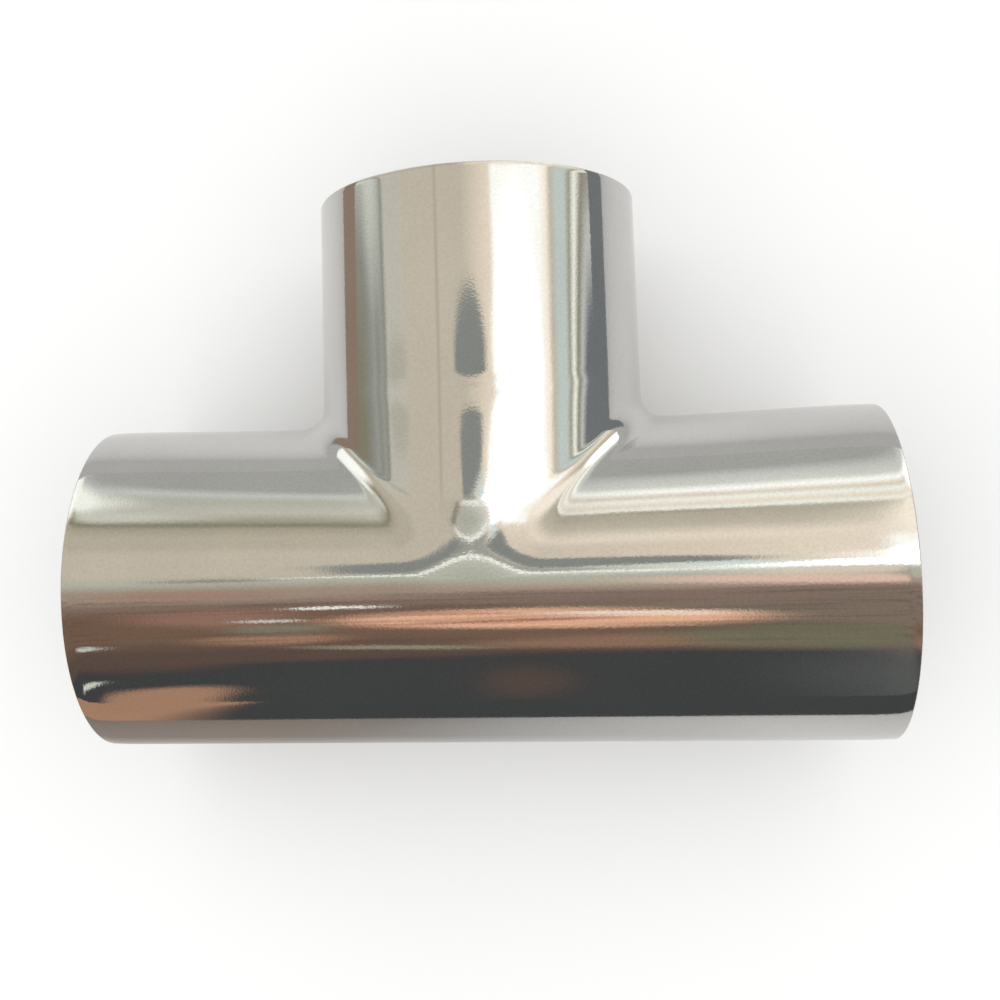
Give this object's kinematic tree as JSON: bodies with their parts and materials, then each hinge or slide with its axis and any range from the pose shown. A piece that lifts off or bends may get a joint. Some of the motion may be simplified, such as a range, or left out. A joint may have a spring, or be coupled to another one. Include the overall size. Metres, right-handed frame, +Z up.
{
  "type": "tee fitting",
  "caption": "Equal tee fitting in mirror-polished stainless tube, with a branch welded to a collar drawn from the run and plain square-cut ends for butt welding.",
  "frame": {"origin": "on the surface the fitting lies on, under the middle of its bounding box", "axes": "+X along the run tube, +Y along the branch towards its open end, +Z up, square to the plane of both axes"},
  "size_m": [0.1206, 0.0856, 0.0508],
  "materials": {
    "polished_stainless": "mirror-polished outside, satin inside, square-cut ends",
    "blended_weld": "weld bead ground flush and polished, slightly wavier than the tube"
  },
  "bodies": {
    "root": {"run_tube": "polished_stainless", "branch_weld": "blended_weld", "branch_tube": "polished_stainless"}
  },
  "joints": []
}
